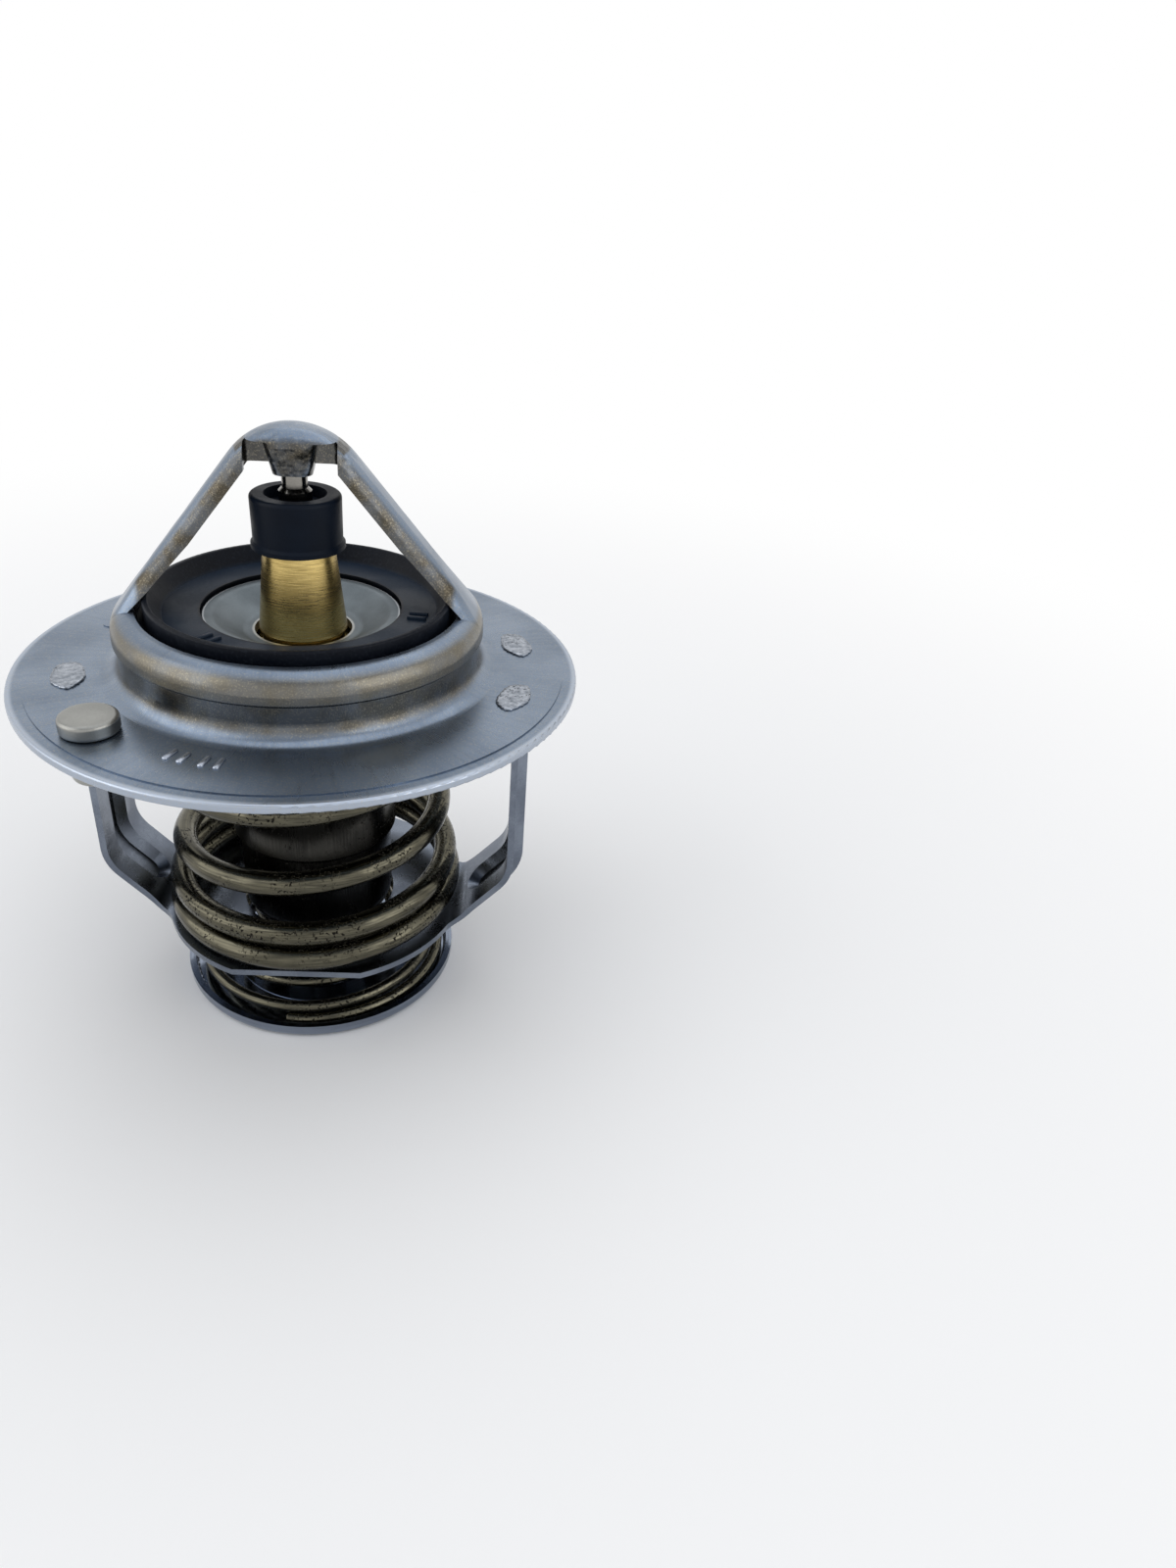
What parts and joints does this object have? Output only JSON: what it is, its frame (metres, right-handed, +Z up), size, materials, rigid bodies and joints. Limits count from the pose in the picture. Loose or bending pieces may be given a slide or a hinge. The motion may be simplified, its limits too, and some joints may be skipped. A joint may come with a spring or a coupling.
{
  "type": "engine thermostat",
  "caption": "Wax-element engine thermostat: round mounting flange, spring-closed main valve, bridge-held piston and a sprung bypass valve below.",
  "frame": {"origin": "centre of the underside of the bypass valve, on which the part stands", "axes": "+Z up the piston from the bypass valve to the bridge, +X along the bridge that carries the piston"},
  "size_m": [0.064, 0.064, 0.0712],
  "materials": {
    "frame_steel": "satin pressed stainless steel",
    "leg_steel": "bright pressed stainless steel",
    "spring_steel": "dark tarnished spring wire",
    "piston_steel": "ground and polished steel",
    "guide_brass": "turned brass, fine rings",
    "cup_brass": "dark tarnished drawn brass",
    "cap_black": "black moulded cap",
    "black_rubber": "black moulded rubber",
    "ring_white": "plain sealing plastic",
    "wax": "wax mixed with copper powder",
    "plate_steel": "matt grey steel",
    "retainer_steel": "plain pressed steel",
    "bypass_steel": "bright pressed stainless steel",
    "pin_steel": "polished steel"
  },
  "bodies": {
    "frame": {"upper_frame": "frame_steel", "lower_frame": "leg_steel", "piston": "piston_steel", "main_spring": "spring_steel"},
    "element": {"guide": "guide_brass", "guide_seal": "black_rubber", "backup_ring": "ring_white", "dust_cap": "cap_black", "rubber_sleeve": "black_rubber", "wax_cup": "cup_brass", "wax_charge": "wax", "valve_plate": "plate_steel", "valve_seal": "black_rubber", "spring_retainer": "retainer_steel", "bypass_stem": "pin_steel", "stem_clip": "pin_steel", "bypass_spring": "spring_steel"},
    "bypass": {"bypass_valve": "bypass_steel"},
    "jiggle": {"jiggle_pin": "pin_steel", "jiggle_weight": "pin_steel"}
  },
  "joints": [
    {"name": "valve_lift", "type": "slide", "parent": "frame", "child": "element", "axis": [0, 0, -1], "range_m": [0, 0.0085], "stiffness_N_per_m": 2800, "springref_m": -0.024, "deforming": ["main_spring"]},
    {"name": "bypass_lift", "type": "slide", "parent": "element", "child": "bypass", "axis": [0, 0, 1], "range_m": [0, 0.005], "stiffness_N_per_m": 700, "springref_m": -0.006, "deforming": ["bypass_spring"]},
    {"name": "jiggle_lift", "type": "slide", "parent": "frame", "child": "jiggle", "axis": [0, 0, 1], "range_m": [0, 0.0015]}
  ]
}
